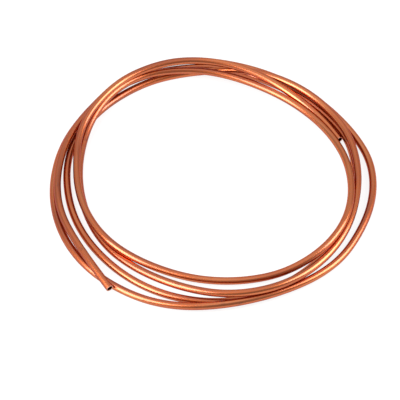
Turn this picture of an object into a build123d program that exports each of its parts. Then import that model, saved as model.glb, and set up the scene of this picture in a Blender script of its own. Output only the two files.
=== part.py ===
from build123d import *
import math
import os

# Loose coil of bare copper tube, lying flat.
# Millimetres, +Z up. The origin is on the floor, under the middle of the coil's outline.
# One length of tube runs round a little over four and a half times: from the open end in front on
# the left, over the back, down the right side and along the front, to an inner end on the right.
# The turns are bent by hand and nothing ties them, so they fan out in front and on the left, and
# lie across each other at the back.

# The tube itself.
tube_od = 6.35
wall = 0.8

# The ring that the turns follow. Its plan is slightly oval and slightly three-sided.
coil_radius = 118.0
oval = 5.0
oval_direction = -42.0
three_sided = 1.5
three_sided_direction = -22.0

# Straight stretch at each cut end, where a plug or a fitting goes in.
straight_end = 20.0

# Room between two turns that are a whole lane or a whole layer apart.
turn_clearance = 0.25

# Stations on the path, in degrees of compass.
station_step = 12.0

# Waypoints of each turn: compass direction in degrees, lane and layer.
# A lane is one tube and its clearance outward from the ring, and a layer is as much upward from
# the floor. Between two waypoints the tube eases from one to the other.
# The first turn lies outermost in front and on the right, and on the second on the left.
turn_1 = [
    (236, 6.0, 0.8), (224, 4.5, 1.1), (212, 3.7, 1.0), (200, 3.38, 0.9), (176, 2.35, 0.9),
    (164, 2.0, 0.95), (152, 1.35, 1.0), (140, 1.3, 0.95), (128, 1.7, 1.0), (104, 2.22, 0.82),
    (92, 2.4, 0.25), (80, 2.4, 0), (56, 2.4, 0), (44, 2.52, 0), (32, 2.57, 0), (20, 2.75, 0),
    (8, 3.0, 0), (-16, 2.45, 0), (-28, 2.25, 0), (-40, 2.55, 0), (-52, 2.75, 0.2), (-64, 2.95, 0.4),
    (-76, 3.55, 0.7), (-88, 4.2, 0.65), (-100, 4.75, 0.3),
]
# The second turn keeps to the floor all the way.
turn_2 = [
    (248, 5.0, 0), (236, 5.0, 0), (224, 4.9, 0), (200, 4.0, 0), (176, 2.85, 0), (164, 2.42, 0),
    (152, 1.95, 0), (140, 1.85, 0), (128, 1.85, 0), (116, 1.62, 0), (104, 1.48, 0), (92, 1.43, 0),
    (80, 1.4, 0), (68, 1.15, 0), (56, 1.25, 0), (44, 1.52, 0), (32, 1.58, 0), (20, 1.64, 0),
    (8, 1.0, 0), (-4, 0.5, 0), (-20, 0.1, 0), (-40, 0.5, 0), (-64, 1.9, 0), (-88, 3.3, 0),
    (-100, 3.4, 0),
]
# The third turn climbs over the second at the back on the right, and comes down again in front.
turn_3 = [
    (248, 3.25, 0), (224, 2.4, 0), (200, 1.78, 0), (188, 1.5, 0), (164, 1.35, 0), (152, 0.88, 0),
    (140, 0.55, 0), (128, 0.33, 0), (104, 0.38, 0), (92, 0.45, 0.3), (80, 0.8, 0.9), (68, 1.3, 1.1),
    (56, 1.7, 1.1), (44, 1.85, 1.1), (20, 1.65, 1.0), (8, 1.12, 1.0), (-4, 0.7, 1.0),
    (-16, 0.52, 1.0), (-28, 0.8, 1.0), (-40, 1.25, 0.9), (-52, 1.88, 1.0), (-64, 2.76, 1.45),
    (-76, 3.22, 1.65), (-88, 3.05, 1.4), (-100, 2.35, 1.0),
]
# The fourth turn rides over the others at the back, and again on the right.
turn_4 = [
    (248, 1.7, 0.6), (236, 1.2, 0.2), (224, 0.9, 0), (188, -0.15, 0), (176, -0.2, 0.1),
    (164, -0.1, 0.4), (152, 0.2, 0.95), (140, 0.42, 1.45), (128, 0.72, 1.45), (116, 0.6, 1.25),
    (104, 0.1, 1.1), (92, -0.26, 1.0), (80, -0.58, 0.8), (68, -0.65, 0.6), (56, -0.52, 0.45),
    (44, -0.43, 0.45), (32, -0.34, 0.5), (8, -0.35, 1.0), (-4, -0.35, 1.5), (-16, -0.05, 1.9),
    (-28, 0.4, 2.0), (-40, 0.7, 1.85), (-52, 0.8, 1.45), (-64, 0.65, 0.8), (-76, 0.3, 0.4),
    (-88, 0.1, 0.2),
]
# The last turn lies on top on the left and at the back, and drops in beside the fourth to its end.
turn_5 = [
    (248, 0.1, 0.4), (236, 0.4, 0.8), (224, 0.6, 1.0), (188, 0.15, 1.0), (176, 0.06, 1.1),
    (164, 0.48, 1.4), (152, 0.62, 1.95), (140, 0.45, 2.45), (128, 0.65, 2.45), (104, 0.65, 2.4),
    (92, 0.55, 2.2), (80, 0.4, 2.0), (68, 0.36, 1.6), (60, 0.43, 1.15), (50, 0.52, 0.45),
    (40, 0.58, 0.23), (32, 0.583, 0.16), (20, 0.5, 0.12),
]
turns = [turn_1, turn_2, turn_3, turn_4, turn_5]

pitch = tube_od + turn_clearance


def ring_radius(compass):
    """Radius of the ring: a circle with a two-lobed and a three-lobed wave on it."""
    two = math.cos(2 * math.radians(compass - oval_direction))
    three = math.cos(3 * math.radians(compass - three_sided_direction))
    return coil_radius + oval * two + three_sided * three


def easing(turned, places, values):
    """Monotone cubic through the waypoints, with the harmonic mean of the slopes beside each."""
    last = len(places) - 1
    runs = [places[i + 1] - places[i] for i in range(last)]
    rises = [(values[i + 1] - values[i]) / runs[i] for i in range(last)]
    slopes = [rises[0]] + [
        2 * a * b / (a + b) if a * b > 0 else 0.0 for a, b in zip(rises, rises[1:])
    ] + [rises[-1]]
    i = min(max(sum(place <= turned for place in places) - 1, 0), last - 1)
    t = (turned - places[i]) / runs[i]
    return (
        values[i] * (1 + 2 * t) * (1 - t) ** 2
        + values[i + 1] * t * t * (3 - 2 * t)
        + runs[i] * slopes[i] * t * (1 - t) ** 2
        + runs[i] * slopes[i + 1] * t * t * (t - 1)
    )


# The waypoints in order, each with how far the tube has turned since its open end.
start = turn_1[0][0]
waypoints = [
    (start - compass + 360 * number, lane, layer)
    for number, turn in enumerate(turns)
    for compass, lane, layer in turn
]
places = [point[0] for point in waypoints]
lanes = [point[1] for point in waypoints]
layers = [point[2] for point in waypoints]
steps = round(places[-1] / station_step)
stations = []
for step in range(steps + 1):
    turned = places[-1] * step / steps
    compass = math.radians(start - turned)
    radius = ring_radius(start - turned) + pitch * easing(turned, places, lanes)
    height = tube_od / 2 + pitch * max(0.0, easing(turned, places, layers))
    stations.append((radius * math.cos(compass), radius * math.sin(compass), height))

# Each bend is the largest arc that its two runs leave room for, and the first and the last one leave
# the straight end.
points = [Vector(*station) for station in stations]
runs = [after - before for before, after in zip(points, points[1:])]
radii = []
for before, after in zip(runs, runs[1:]):
    room = 0.45 * min(before.length, after.length)
    if before is runs[0] or after is runs[-1]:
        room = (before if before is runs[0] else after).length - straight_end
    radii.append(room / math.tan(math.radians(before.get_angle(after)) / 2))

with BuildLine():
    line = FilletPolyline(*points, radius=radii)

# The route is moved until the origin is under the middle of its outline.
middle = line.bounding_box().center()
route = line.moved(Location((-middle.X, -middle.Y, 0)))

# The section is carried along each straight and each bent stretch in turn. The walls of all of them
# are sewn together with the two cut faces, so the tube is one solid with an open bore.
with BuildPart() as copper_tube:
    section_plane = Plane(origin=route @ 0, z_dir=route % 0)
    walls = []
    cuts = []
    for stretch in route.edges():
        with BuildSketch(section_plane):
            Circle(tube_od / 2)
            Circle(tube_od / 2 - wall, mode=Mode.SUBTRACT)
        onward = stretch % 1
        sideways = section_plane.x_dir
        if stretch.geom_type == GeomType.LINE:
            piece = extrude(amount=stretch.length, mode=Mode.PRIVATE)
        else:
            hinge = (stretch % 0).cross(onward)
            bend = (stretch % 0).get_angle(onward)
            piece = revolve(axis=Axis(stretch.arc_center, hinge), revolution_arc=bend, mode=Mode.PRIVATE)
            sideways = sideways.rotate(Axis((0, 0, 0), hinge), bend)
        walls += piece.faces().filter_by(GeomType.PLANE, reverse=True)
        cuts += piece.faces().filter_by(GeomType.PLANE).sort_by_distance(section_plane.origin)
        section_plane = Plane(origin=stretch @ 1, x_dir=sideways, z_dir=onward)
    add(Solid(Shell([cuts[0], *walls, cuts[-1]])))

copper_tube.part.label = "copper_tube"

section = math.pi * (tube_od - wall) * wall
print(f"tube {route.length:.0f} mm long, bends of {min(radii):.0f} to {max(radii):.0f} mm")
print(f"volume {copper_tube.part.volume:.0f}, section by length {section * route.length:.0f}")
print("ring centre", -middle.X, -middle.Y)
print("front end", route @ 0, "faces", (route % 0) * -1)
print("inner end", route @ 1, "faces", route % 1)

os.makedirs("parts", exist_ok=True)
export_step(copper_tube.part, "parts/copper_tube.step")
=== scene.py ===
# %% [markdown]
# A loose coil of copper tube.
# The real thing is one length of soft copper tube, bent by hand in a little over four and a half
# turns. Nothing ties the turns, so they fan out in front and on the left, and lie across each other
# at the back. The frame holds this tube as a plain solid. The script gives it a smooth wall, two cut
# ends and its metal, then a pale studio and a camera.

# %% Load the frame
import math

import bpy
import numpy as np
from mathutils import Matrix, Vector


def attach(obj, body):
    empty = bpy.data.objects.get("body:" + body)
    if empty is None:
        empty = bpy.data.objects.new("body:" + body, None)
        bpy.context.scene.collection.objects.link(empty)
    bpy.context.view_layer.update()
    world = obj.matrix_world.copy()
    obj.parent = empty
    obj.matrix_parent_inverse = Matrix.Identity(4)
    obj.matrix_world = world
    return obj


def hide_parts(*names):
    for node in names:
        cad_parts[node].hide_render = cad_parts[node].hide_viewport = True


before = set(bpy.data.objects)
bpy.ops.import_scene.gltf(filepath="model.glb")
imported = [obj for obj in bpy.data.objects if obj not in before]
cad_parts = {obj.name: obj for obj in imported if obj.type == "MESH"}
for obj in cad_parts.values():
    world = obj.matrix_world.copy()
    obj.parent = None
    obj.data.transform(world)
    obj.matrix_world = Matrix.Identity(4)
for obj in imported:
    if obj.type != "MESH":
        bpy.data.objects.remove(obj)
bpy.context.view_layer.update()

# %% [markdown]
# The route of the tube.
# A curve object with a round bevel would give a tube quickly, but not a bore, a cut end or a pattern
# that runs with the tube. So the route is worked out as arrays, and everything else hangs on it. It
# is the same route that the solid follows. A lane is one tube and its clearance outward from a ring,
# and a layer is as much upward from the floor.

# %% Sizes of the tube and of the ring, in metres and degrees
TUBE_OD = 0.00635
WALL = 0.0008
TURN_CLEARANCE = 0.00025
PITCH = TUBE_OD + TURN_CLEARANCE
COIL_RADIUS = 0.118
OVAL, OVAL_DIRECTION = 0.005, -42.0
THREE_SIDED, THREE_SIDED_DIRECTION = 0.0015, -22.0
RING_CENTRE = np.array([0.000232, 0.004928, 0.0])
STATION_STEP = 12.0

# %% Waypoints of each turn: compass direction in degrees, lane and layer
# The first turn lies outermost in front and on the right, and on the second on the left.
TURN_1 = [
    (236, 6.0, 0.8), (224, 4.5, 1.1), (212, 3.7, 1.0), (200, 3.38, 0.9), (176, 2.35, 0.9),
    (164, 2.0, 0.95), (152, 1.35, 1.0), (140, 1.3, 0.95), (128, 1.7, 1.0), (104, 2.22, 0.82),
    (92, 2.4, 0.25), (80, 2.4, 0), (56, 2.4, 0), (44, 2.52, 0), (32, 2.57, 0), (20, 2.75, 0),
    (8, 3.0, 0), (-16, 2.45, 0), (-28, 2.25, 0), (-40, 2.55, 0), (-52, 2.75, 0.2), (-64, 2.95, 0.4),
    (-76, 3.55, 0.7), (-88, 4.2, 0.65), (-100, 4.75, 0.3),
]
# The second turn keeps to the floor all the way.
TURN_2 = [
    (248, 5.0, 0), (236, 5.0, 0), (224, 4.9, 0), (200, 4.0, 0), (176, 2.85, 0), (164, 2.42, 0),
    (152, 1.95, 0), (140, 1.85, 0), (128, 1.85, 0), (116, 1.62, 0), (104, 1.48, 0), (92, 1.43, 0),
    (80, 1.4, 0), (68, 1.15, 0), (56, 1.25, 0), (44, 1.52, 0), (32, 1.58, 0), (20, 1.64, 0),
    (8, 1.0, 0), (-4, 0.5, 0), (-20, 0.1, 0), (-40, 0.5, 0), (-64, 1.9, 0), (-88, 3.3, 0),
    (-100, 3.4, 0),
]
# The third turn climbs over the second at the back on the right, and comes down again in front.
TURN_3 = [
    (248, 3.25, 0), (224, 2.4, 0), (200, 1.78, 0), (188, 1.5, 0), (164, 1.35, 0), (152, 0.88, 0),
    (140, 0.55, 0), (128, 0.33, 0), (104, 0.38, 0), (92, 0.45, 0.3), (80, 0.8, 0.9), (68, 1.3, 1.1),
    (56, 1.7, 1.1), (44, 1.85, 1.1), (20, 1.65, 1.0), (8, 1.12, 1.0), (-4, 0.7, 1.0),
    (-16, 0.52, 1.0), (-28, 0.8, 1.0), (-40, 1.25, 0.9), (-52, 1.88, 1.0), (-64, 2.76, 1.45),
    (-76, 3.22, 1.65), (-88, 3.05, 1.4), (-100, 2.35, 1.0),
]
# The fourth turn rides over the others at the back, and again on the right.
TURN_4 = [
    (248, 1.7, 0.6), (236, 1.2, 0.2), (224, 0.9, 0), (188, -0.15, 0), (176, -0.2, 0.1),
    (164, -0.1, 0.4), (152, 0.2, 0.95), (140, 0.42, 1.45), (128, 0.72, 1.45), (116, 0.6, 1.25),
    (104, 0.1, 1.1), (92, -0.26, 1.0), (80, -0.58, 0.8), (68, -0.65, 0.6), (56, -0.52, 0.45),
    (44, -0.43, 0.45), (32, -0.34, 0.5), (8, -0.35, 1.0), (-4, -0.35, 1.5), (-16, -0.05, 1.9),
    (-28, 0.4, 2.0), (-40, 0.7, 1.85), (-52, 0.8, 1.45), (-64, 0.65, 0.8), (-76, 0.3, 0.4),
    (-88, 0.1, 0.2),
]
# The last turn lies on top on the left and at the back, and drops in beside the fourth to its end.
TURN_5 = [
    (248, 0.1, 0.4), (236, 0.4, 0.8), (224, 0.6, 1.0), (188, 0.15, 1.0), (176, 0.06, 1.1),
    (164, 0.48, 1.4), (152, 0.62, 1.95), (140, 0.45, 2.45), (128, 0.65, 2.45), (104, 0.65, 2.4),
    (92, 0.55, 2.2), (80, 0.4, 2.0), (68, 0.36, 1.6), (60, 0.43, 1.15), (50, 0.52, 0.45),
    (40, 0.58, 0.23), (32, 0.583, 0.16), (20, 0.5, 0.12),
]
TURNS = [TURN_1, TURN_2, TURN_3, TURN_4, TURN_5]
START = TURN_1[0][0]
waypoints = np.array([
    (START - compass + 360 * number, lane, layer)
    for number, turn in enumerate(TURNS)
    for compass, lane, layer in turn
])
print("waypoints", len(waypoints), "over", round(waypoints[-1, 0] / 360, 2), "turns")


# %% Functions that turn waypoints into a route
def ring_radius(compass):
    """Radius of the ring at a compass direction: a circle with a two-lobed and a three-lobed wave."""
    two = np.cos(2 * np.radians(compass - OVAL_DIRECTION))
    three = np.cos(3 * np.radians(compass - THREE_SIDED_DIRECTION))
    return COIL_RADIUS + OVAL * two + THREE_SIDED * three


def eased(turned, places, values):
    """A cubic from each waypoint to the next. Its slope at a waypoint is the harmonic mean of the
    slopes of the two straight lines that meet there, or nothing where they slope opposite ways."""
    runs = np.diff(places)
    rises = np.diff(values) / runs
    product = rises[:-1] * rises[1:]
    same_way = product > 0
    total = np.where(same_way, rises[:-1] + rises[1:], 1.0)
    slopes = np.concatenate([rises[:1], np.where(same_way, 2 * product / total, 0.0), rises[-1:]])
    i = np.clip(np.searchsorted(places, turned, side="right") - 1, 0, len(runs) - 1)
    t = (turned - places[i]) / runs[i]
    return (
        values[i] * (1 + 2 * t) * (1 - t) ** 2
        + values[i + 1] * t * t * (3 - 2 * t)
        + runs[i] * slopes[i] * t * (1 - t) ** 2
        + runs[i] * slopes[i + 1] * t * t * (t - 1)
    )


def route(turned):
    """Centre of the tube after it has turned so far: the ring's radius and the lanes in plan, half a
    tube and the layers in height."""
    compass = START - turned
    radius = ring_radius(compass) + PITCH * eased(turned, waypoints[:, 0], waypoints[:, 1])
    layer = np.maximum(eased(turned, waypoints[:, 0], waypoints[:, 2]), 0)
    east, north = radius * np.cos(np.radians(compass)), radius * np.sin(np.radians(compass))
    return RING_CENTRE + np.stack([east, north, TUBE_OD / 2 + PITCH * layer], axis=1)


# %% [markdown]
# The centre line.
# The solid turns at a station every twelve degrees, with an arc at each. Its centre line could be read
# off that, but arcs between straight runs show as faint corners in the mirror of the metal. So the
# line is a spline over the same stations: each stretch is a parabola from the middle of one run to
# the middle of the next. It starts and ends straight, as the cut ends of the real tube do. A light
# smoothing then evens out how the bend changes from one parabola to the next.

# %% The centre line at even steps
# Points to a stretch of the spline, then the step along the line and the smoothing's reach in metres.
FINE_STEPS = 60
CENTRE_STEP = 0.0005
SOFT_SPREAD = 0.004


def spline(points, fine_steps):
    """A quadratic spline: half of (1 - t) squared of the point before, half of t squared of the point
    after, and the rest of the point between, with the first and last half run straight."""
    t = np.linspace(0, 1, fine_steps, endpoint=False)[None, :, None]
    before, middle, after = points[:-2, None], points[1:-1, None], points[2:, None]
    bent = (1 - t) ** 2 / 2 * before + (0.5 + t - t * t) * middle + t * t / 2 * after
    return np.concatenate([points[:1], bent.reshape(-1, 3), (points[-2:-1] + points[-1:]) / 2, points[-1:]])


def distances(line):
    """Length along a line of points, from its first point to each."""
    return np.concatenate([[0], np.cumsum(np.linalg.norm(np.diff(line, axis=0), axis=1))])


def at(line, reach, where):
    """Points of a line at given distances along it, straight between its own points."""
    return np.stack([np.interp(where, reach, line[:, k]) for k in range(line.shape[1])], axis=1)


def softened(line, spread):
    """A line with each point the bell-weighted mean of its neighbours, and the ends held. The spread
    is in points."""
    half = int(3 * spread)
    weight = np.exp(-0.5 * (np.arange(-half, half + 1) / spread) ** 2)
    first = 2 * line[0] - line[half:0:-1]
    last = 2 * line[-1] - line[-2:-half - 2:-1]
    padded = np.concatenate([first, line, last])
    weight /= weight.sum()
    return np.stack([np.convolve(padded[:, k], weight, "valid") for k in range(3)], axis=1)


last_turned = waypoints[-1, 0]
stations = route(np.linspace(0, last_turned, round(last_turned / STATION_STEP) + 1))
fine = spline(stations, FINE_STEPS)
reach = distances(fine)
steps = int(reach[-1] / CENTRE_STEP)
centre = at(fine, reach, np.linspace(0, reach[-1], steps + 1))
centre = softened(centre, SOFT_SPREAD / CENTRE_STEP)
reach = distances(centre)
length = reach[-1]
print("stations", len(stations), "centre line", round(1000 * length), "mm")

# %% [markdown]
# The wall of the tube.
# A drawn tube is one wall with an outer and an inner face, joined at the two cut ends by narrow rims
# whose edges the cutter has rounded. A Solidify modifier on an open pipe would give such a wall, but
# no rounded rim. Here the outline of the wall, cut lengthwise, is a closed line of distance along the
# tube and distance from its centre. Carried round the centre line, it gives one closed surface.

# %% Build the tube's surface
AROUND = 48
OUTER_STEP = 0.003
INNER_STEP = 0.012
RIM_ROUND = 0.00014
RIM_STEPS = 3
OUTSIDE, ON_RIM, IN_BORE = 0.0, 1.0, 2.0


def wall_outline():
    """Distance along and distance from the centre, once round the wall cut lengthwise: out along the
    outer face, round the far rim, back along the bore and round the near rim. The last column says
    which face a row is on: outside, on a rim or in the bore."""
    outside, inside = TUBE_OD / 2, TUBE_OD / 2 - WALL
    corner = np.linspace(0, math.pi / 2, RIM_STEPS + 1)
    outer_edge = np.stack([RIM_ROUND * (1 - np.sin(corner)), outside - RIM_ROUND * (1 - np.cos(corner))], 1)
    inner_edge = np.stack([RIM_ROUND * (1 - np.cos(corner)), inside + RIM_ROUND * (1 - np.sin(corner))], 1)
    rim = np.concatenate([outer_edge, inner_edge])
    outer = np.linspace(2 * RIM_ROUND, length - 2 * RIM_ROUND, int(length / OUTER_STEP))
    inner = np.linspace(length - 2 * RIM_ROUND, 2 * RIM_ROUND, int(length / INNER_STEP))
    parts = [
        np.stack([outer, np.full(len(outer), outside), np.full(len(outer), OUTSIDE)], 1),
        np.stack([length - rim[:, 0], rim[:, 1], np.full(len(rim), ON_RIM)], 1),
        np.stack([inner, np.full(len(inner), inside), np.full(len(inner), IN_BORE)], 1),
        np.stack([rim[::-1, 0], rim[::-1, 1], np.full(len(rim), ON_RIM)], 1),
    ]
    return np.concatenate(parts)


def carried_round(outline):
    """Each row is a ring square to the centre line: its centre, plus its radius times the cosine of
    the angle sideways and the sine of the angle upward."""
    forward = np.gradient(centre, axis=0)
    forward /= np.linalg.norm(forward, axis=1, keepdims=True)
    side = np.cross(forward, [0, 0, 1.0])
    side /= np.linalg.norm(side, axis=1, keepdims=True)
    over = np.cross(side, forward)
    angle = np.arange(AROUND) * 2 * math.pi / AROUND
    along, radius = outline[:, 0], outline[:, 1]
    middle, side, over = (at(line, reach, along) for line in (centre, side, over))
    round_it = np.cos(angle)[None, :, None] * side[:, None] + np.sin(angle)[None, :, None] * over[:, None]
    return middle[:, None] + radius[:, None, None] * round_it, angle


def closed_grid_faces(rows, columns):
    """Corner numbers of the faces of a grid that closes on itself both ways."""
    row, column = np.meshgrid(np.arange(rows), np.arange(columns), indexing="ij")
    next_row, next_column = (row + 1) % rows, (column + 1) % columns
    corners = [row * columns + column, row * columns + next_column]
    corners += [next_row * columns + next_column, next_row * columns + column]
    return np.stack(corners, axis=-1).reshape(-1, 4)


def mesh_from_grid(name, points, faces):
    """A mesh object of quads, smooth all over."""
    mesh = bpy.data.meshes.new(name)
    mesh.vertices.add(len(points))
    mesh.vertices.foreach_set("co", points.astype(np.float32).ravel())
    mesh.loops.add(faces.size)
    mesh.loops.foreach_set("vertex_index", faces.astype(np.int32).ravel())
    mesh.polygons.add(len(faces))
    mesh.polygons.foreach_set("loop_start", np.arange(0, faces.size, 4, dtype=np.int32))
    mesh.polygons.foreach_set("use_smooth", np.ones(len(faces), bool))
    mesh.update(calc_edges=True)
    piece = bpy.data.objects.new(name, mesh)
    bpy.context.scene.collection.objects.link(piece)
    return piece


outline = wall_outline()
grid, angle = carried_round(outline)
faces = closed_grid_faces(*grid.shape[:2])
tube = mesh_from_grid("tube", grid.reshape(-1, 3), faces)
print("tube faces", len(faces), "triangles", 2 * len(faces))

# %% [markdown]
# Coordinates that run with the tube.
# The marks on drawn tube run lengthwise, whichever way it is bent. Object coordinates would lay them
# across the coil. So each point keeps its place in the tube as if it were straight: how far along,
# and where on the round section. A second value says which face it is on.

# %% Store the straightened place of each point
straight = np.stack([
    np.broadcast_to(outline[:, :1], grid.shape[:2]),
    outline[:, 1:2] * np.cos(angle),
    outline[:, 1:2] * np.sin(angle),
], axis=2)
place = tube.data.attributes.new("straight_place", "FLOAT_VECTOR", "POINT")
place.data.foreach_set("vector", straight.astype(np.float32).ravel())
face_kind = tube.data.attributes.new("face_kind", "FLOAT", "POINT")
face_kind.data.foreach_set("value", np.repeat(outline[:, 2], AROUND).astype(np.float32))
print("attributes", [a.name for a in tube.data.attributes if not a.name.startswith(".")])

# %% [markdown]
# Bare copper.
# Drawn copper is bright but never a mirror: the die leaves fine lines and low ridges along it, and
# handling leaves a thin film, pinker on some stretches and browner on others. One flat metal would
# look like foil. So a slow noise along the tube mixes three tones, with lengthwise streaks and a few
# dark smudges over them, and the metal is duller where it is browner. A coat gives the film its own
# soft gloss. The ridges and the dents of handling are too low to model, so they are bumps.


# %% Helpers for material nodes
# The sockets of a mix node by number, because those for colours and for numbers share their names.
MIX_FACTOR = 0
NUMBER_A, NUMBER_B, NUMBER_OUT = 2, 3, 0
COLOUR_A, COLOUR_B, COLOUR_OUT = 6, 7, 2


class Nodes:
    """Makes nodes in one tree, wired by socket name or number."""

    def __init__(self, tree):
        self.tree = tree
        self.tree.nodes.clear()

    def new(self, kind, **settings):
        """A node with its properties set."""
        made = self.tree.nodes.new(kind)
        for name, value in settings.items():
            setattr(made, name, value)
        return made

    def link(self, source, output, target, socket):
        """Wires an output to an input."""
        self.tree.links.new(source.outputs[output], target.inputs[socket])

    def noise(self, source, output, scale, detail=2.0, rough=0.5):
        """Noise on a vector, with its own scale for each axis."""
        stretch = self.new("ShaderNodeMapping")
        stretch.inputs["Scale"].default_value = scale
        self.link(source, output, stretch, "Vector")
        made = self.new("ShaderNodeTexNoise")
        made.inputs["Scale"].default_value = 1.0
        made.inputs["Detail"].default_value = detail
        made.inputs["Roughness"].default_value = rough
        self.link(stretch, "Vector", made, "Vector")
        return made

    def ranged(self, source, output, low, high, to_low, to_high):
        """A value moved from one range to another and held inside it."""
        made = self.new("ShaderNodeMapRange")
        for name, value in zip(("From Min", "From Max", "To Min", "To Max"), (low, high, to_low, to_high)):
            made.inputs[name].default_value = value
        self.link(source, output, made, "Value")
        return made

    def relief(self, source, height, strength, under=None):
        """A bump from a noise, its height in metres, on top of another bump if one is given."""
        made = self.new("ShaderNodeBump")
        made.inputs["Distance"].default_value = height
        made.inputs["Strength"].default_value = strength
        self.link(source, "Fac", made, "Height")
        if under:
            self.link(under, "Normal", made, "Normal")
        return made

    def mixed(self, factor, first, second):
        """A colour that goes over to another as a node's first output grows. The first is three numbers
        or another mix, and the second is three numbers."""
        made = self.new("ShaderNodeMix", data_type="RGBA")
        self.link(factor, 0, made, MIX_FACTOR)
        if isinstance(first, tuple):
            made.inputs[COLOUR_A].default_value = (*first, 1)
        else:
            self.link(first, COLOUR_OUT, made, COLOUR_A)
        made.inputs[COLOUR_B].default_value = (*second, 1)
        return made

    def levelled(self, factor, output, first, second):
        """The first output of a node, which goes over to a fixed number as the factor grows."""
        made = self.new("ShaderNodeMix", data_type="FLOAT")
        self.link(factor, output, made, MIX_FACTOR)
        self.link(first, NUMBER_OUT, made, NUMBER_A)
        made.inputs[NUMBER_B].default_value = second
        return made


# %% Tones of the copper
PINK_COPPER = (0.62, 0.168, 0.034)
ORANGE_COPPER = (0.55, 0.106, 0.007)
BROWN_COPPER = (0.36, 0.060, 0.004)
DARK_COPPER = (0.18, 0.028, 0.004)
CUT_COPPER = (0.62, 0.28, 0.20)
BORE_COPPER = (0.42, 0.13, 0.05)
EDGE_TINT = (0.52, 0.26, 0.08)

# %% Grain and strength of each mark
# A grain is how many cells of a noise fit in a metre, along the tube and both ways across it. A pair
# says where on its noise a mark begins and where it is full, and for the lines' roughness what it is
# at either end.
FILM_GRAIN = (14, 160, 160)
BROWNER = (0.48, 0.70)
PINKER = (0.48, 0.30)
DULLER = (0.35, 0.65)
DULLNESS = 0.12
STREAK_GRAIN = (16, 900, 900)
STREAKED = (0.50, 0.75)
STREAK_SHARE = 0.8
SMUDGE_GRAIN = (70, 150, 150)
SMUDGED = (0.68, 0.80)
SMUDGE_SHARE = 0.7
LINE_GRAIN = (5, 3200, 3200)
LINED = (0.3, 0.7)
LINE_ROUGHNESS = (0.18, 0.26)
DENT_GRAIN = (30, 90, 90)
DENT_HEIGHT = 0.0002
DENT_STRENGTH = 0.2
RIDGE_GRAIN = (5, 620, 620)
RIDGE_HEIGHT = 0.0004
RIDGE_STRENGTH = 0.6
FILM_IOR = 3.5
FILM_WEIGHT = 0.21
FILM_ROUGHNESS = 0.18
# Where between two faces the colour begins to change, and where it has changed.
RIM_BLEND = (0.2, ON_RIM)
BORE_BLEND = (ON_RIM, 1.6)


# %% Colour, gloss and relief of the copper
def filmed_tone(make, place, film):
    """Orange copper, pinker or browner by the film, with brown streaks and dark smudges over it."""
    browner = make.ranged(film, "Fac", *BROWNER, 0, 1)
    pinker = make.ranged(film, "Fac", *PINKER, 0, 1)
    tone = make.mixed(browner, ORANGE_COPPER, BROWN_COPPER)
    tone = make.mixed(pinker, tone, PINK_COPPER)
    streaks = make.noise(place, "Vector", STREAK_GRAIN, detail=4.0, rough=0.65)
    streaked = make.ranged(streaks, "Fac", *STREAKED, 0, STREAK_SHARE)
    tone = make.mixed(streaked, tone, BROWN_COPPER)
    smudges = make.noise(place, "Vector", SMUDGE_GRAIN)
    smudged = make.ranged(smudges, "Fac", *SMUDGED, 0, SMUDGE_SHARE)
    return make.mixed(smudged, tone, DARK_COPPER)


def tone_with_cuts(make, tone):
    """The same tone outside, clean metal on the cut rims, and a darker one in the bore."""
    kind = make.new("ShaderNodeAttribute", attribute_name="face_kind")
    on_rim = make.ranged(kind, "Fac", *RIM_BLEND, 0, 1)
    in_bore = make.ranged(kind, "Fac", *BORE_BLEND, 0, 1)
    tone = make.mixed(on_rim, tone, CUT_COPPER)
    return make.mixed(in_bore, tone, BORE_COPPER)


def drawn_gloss(make, place, film):
    """Roughness that follows the lines along the tube, and grows where the film is browner."""
    lines = make.noise(place, "Vector", LINE_GRAIN, detail=3.0, rough=0.6)
    gloss = make.ranged(lines, "Fac", *LINED, *LINE_ROUGHNESS)
    dulled = make.ranged(film, "Fac", *DULLER, 0, DULLNESS)
    both = make.new("ShaderNodeMath", operation="ADD")
    make.link(gloss, 0, both, 0)
    make.link(dulled, 0, both, 1)
    return both


def drawn_relief(make, place):
    """Low ridges along the tube on top of the shallow dents of handling."""
    handled = make.noise(place, "Vector", DENT_GRAIN, detail=1.0)
    ridges = make.noise(place, "Vector", RIDGE_GRAIN, detail=1.0)
    dents = make.relief(handled, DENT_HEIGHT, DENT_STRENGTH)
    return make.relief(ridges, RIDGE_HEIGHT, RIDGE_STRENGTH, under=dents)


# %% The copper's material
def bare_copper():
    """Metal under a thin glossy film, with its tone, gloss and relief running with the tube."""
    material = bpy.data.materials.new("bare_copper")
    material.use_nodes = True
    make = Nodes(material.node_tree)
    shader = make.new("ShaderNodeBsdfPrincipled")
    output = make.new("ShaderNodeOutputMaterial")
    make.link(shader, "BSDF", output, "Surface")
    shader.inputs["Metallic"].default_value = 1.0
    shader.inputs["Specular Tint"].default_value = (*EDGE_TINT, 1)
    shader.inputs["Coat Weight"].default_value = FILM_WEIGHT
    shader.inputs["Coat Roughness"].default_value = FILM_ROUGHNESS
    shader.inputs["Coat IOR"].default_value = FILM_IOR
    place = make.new("ShaderNodeAttribute", attribute_name="straight_place")
    film = make.noise(place, "Vector", FILM_GRAIN, detail=3.0)
    tone = tone_with_cuts(make, filmed_tone(make, place, film))
    make.link(tone, COLOUR_OUT, shader, "Base Color")
    make.link(drawn_gloss(make, place, film), 0, shader, "Roughness")
    make.link(drawn_relief(make, place), "Normal", shader, "Normal")
    print("copper nodes", len(material.node_tree.nodes))
    return material


tube.data.materials.append(bare_copper())
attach(tube, "root")
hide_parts("copper_tube")

# %% [markdown]
# The floor.
# The coil lies on a white table in a white studio, and its shadow is faint. A plane that is white by
# its colour alone would throw light back up at the copper, and a grey one would look grey. So the
# floor is matt grey, and what the camera or the metal sees of it is lifted to near-white by a light
# of its own, which leaves a faint shadow in.

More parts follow.
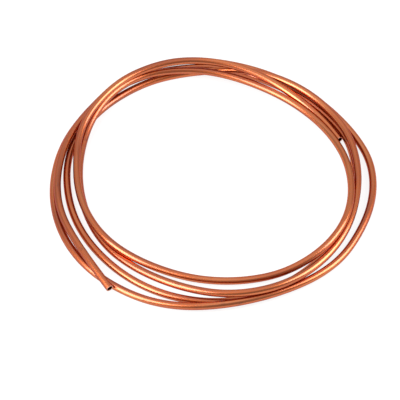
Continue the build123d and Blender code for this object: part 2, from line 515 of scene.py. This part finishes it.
# %% Floor
FLOOR_SIZE = 8.0
FLOOR_COLOUR = (0.20, 0.20, 0.20, 1)
FLOOR_LIFT = 0.84


def seen_directly(make):
    """One where a ray comes from the camera, from a shiny surface or through glass, else nothing."""
    path = make.new("ShaderNodeLightPath")
    camera_or_shiny = make.new("ShaderNodeMath", operation="MAXIMUM")
    make.link(path, "Is Camera Ray", camera_or_shiny, 0)
    make.link(path, "Is Glossy Ray", camera_or_shiny, 1)
    seen = make.new("ShaderNodeMath", operation="MAXIMUM")
    make.link(camera_or_shiny, 0, seen, 0)
    make.link(path, "Is Transmission Ray", seen, 1)
    return seen


def pale_floor():
    """Matt grey, lifted to near-white by a light of its own where it is seen directly."""
    material = bpy.data.materials.new("pale_floor")
    material.use_nodes = True
    make = Nodes(material.node_tree)
    matt = make.new("ShaderNodeBsdfDiffuse")
    matt.inputs["Color"].default_value = FLOOR_COLOUR
    lift = make.new("ShaderNodeEmission")
    lifted = make.new("ShaderNodeMath", operation="MULTIPLY")
    lifted.inputs[1].default_value = FLOOR_LIFT
    make.link(seen_directly(make), 0, lifted, 0)
    make.link(lifted, 0, lift, "Strength")
    both = make.new("ShaderNodeAddShader")
    make.link(matt, 0, both, 0)
    make.link(lift, 0, both, 1)
    output = make.new("ShaderNodeOutputMaterial")
    make.link(both, 0, output, "Surface")
    return material


half = FLOOR_SIZE / 2
corners = np.array([(-half, -half, 0), (half, -half, 0), (half, half, 0), (-half, half, 0)], float)
floor = mesh_from_grid("floor", corners, np.array([[0, 1, 2, 3]]))
floor.data.materials.append(pale_floor())
print("floor", FLOOR_SIZE, "m wide")

# %% [markdown]
# The light.
# Metal shows what is around it more than a colour of its own, so the surroundings matter more here
# than the strength of the lamps. White and dark screens could be modelled, but they would stand in
# the way of other views. So the air itself has them: one plain level all round, with a brighter patch
# overhead and dimmer ones low down, which give the tube its dark bands. Two broad lamps add the long
# highlights.

# %% Air of the studio
AIR = 1.0
WHITE = 1.0
# Each patch is an azimuth, an elevation, an outer and an inner angle in degrees, and a level.
PATCHES = {
    "ceiling": (170, 74, 45, 15, 1.4),
    "camera_side": (-75, 20, 60, 22, 0.46),
    "back_left": (150, 25, 34, 12, 0.80),
    "back_right": (50, 18, 26, 8, 0.72),
}


def direction_to(azimuth, elevation):
    """Unit vector from the coil, azimuth counted from the right towards the back."""
    round_it, height = math.radians(azimuth), math.radians(elevation)
    return Vector((
        math.cos(height) * math.cos(round_it), math.cos(height) * math.sin(round_it), math.sin(height)
    ))


def studio_air():
    """One plain level, with soft round patches that are brighter or dimmer. A patch is full within
    its inner angle and fades to nothing at its outer angle. The camera sees white."""
    world = bpy.data.worlds.new("studio_air")
    bpy.context.scene.world = world
    world.use_nodes = True
    make = Nodes(world.node_tree)
    where = make.new("ShaderNodeTexCoord")
    level = make.new("ShaderNodeValue")
    level.outputs[0].default_value = AIR
    for azimuth, elevation, outer, inner, patch_level in PATCHES.values():
        towards = make.new("ShaderNodeVectorMath", operation="DOT_PRODUCT")
        towards.inputs[1].default_value = direction_to(azimuth, elevation)
        make.link(where, "Generated", towards, 0)
        share = make.ranged(
            towards, "Value", math.cos(math.radians(outer)), math.cos(math.radians(inner)), 0, 1
        )
        share.interpolation_type = "SMOOTHSTEP"
        level = make.levelled(share, "Result", level, patch_level)
    path = make.new("ShaderNodeLightPath")
    strength = make.levelled(path, "Is Camera Ray", level, WHITE)
    air = make.new("ShaderNodeBackground")
    make.link(strength, NUMBER_OUT, air, "Strength")
    output = make.new("ShaderNodeOutputWorld")
    make.link(air, 0, output, "Surface")


studio_air()
print("air", AIR, "with", len(PATCHES), "patches")

# %% Soft lamps
LAMP_AWAY = 1.2
# Each lamp is an azimuth and an elevation in degrees, a width and a height in metres, and watts.
LAMPS = {
    "lamp_left": (-147, 34, 0.8, 1.1, 17.0),
    "lamp_right": (-2, 36, 0.65, 0.85, 9.3),
}


def soft_lamp(name, direction, width, height, power):
    """A rectangular lamp in a direction from the coil, facing it."""
    data = bpy.data.lights.new(name, "AREA")
    data.shape = "RECTANGLE"
    data.size, data.size_y = width, height
    data.energy = power
    lamp = bpy.data.objects.new(name, data)
    bpy.context.scene.collection.objects.link(lamp)
    lamp.location = direction * LAMP_AWAY
    lamp.rotation_euler = direction.to_track_quat("Z", "Y").to_euler()
    lamp.visible_camera = False


for name, (azimuth, elevation, width, height, power) in LAMPS.items():
    soft_lamp(name, direction_to(azimuth, elevation), width, height, power)
    print(name, power, "watts")

# %% [markdown]
# The camera.
# The photograph looks down at the coil from about 50 degrees above the floor, from far enough away
# that near and far tubes are almost equally wide. The camera is placed so that the middle of the ring
# falls on its pixel in a picture of 400 by 400.

# %% Camera
PICTURE = 400
RING_PIXEL = (213.6, 177.6)
ELEVATION = math.radians(50)
DISTANCE = 1.8
PIXELS_PER_METRE = 1156
SENSOR = 36.0

focal = PIXELS_PER_METRE * DISTANCE
right = Vector((1, 0, 0))
forward = Vector((0, math.cos(ELEVATION), -math.sin(ELEVATION)))
up = right.cross(forward)
ray = forward + right * (RING_PIXEL[0] - PICTURE / 2) / focal + up * (PICTURE / 2 - RING_PIXEL[1]) / focal
camera_data = bpy.data.cameras.new("camera")
camera_data.sensor_width = SENSOR
camera_data.lens = focal / PICTURE * SENSOR
camera = bpy.data.objects.new("camera", camera_data)
bpy.context.scene.collection.objects.link(camera)
camera.location = Vector(RING_CENTRE) - ray.normalized() * DISTANCE
camera.rotation_euler = (math.pi / 2 - ELEVATION, 0, 0)
bpy.context.scene.camera = camera
bpy.context.scene.view_settings.view_transform = "Standard"
print("camera", [round(v, 3) for v in camera.location], "lens", round(camera_data.lens, 1))
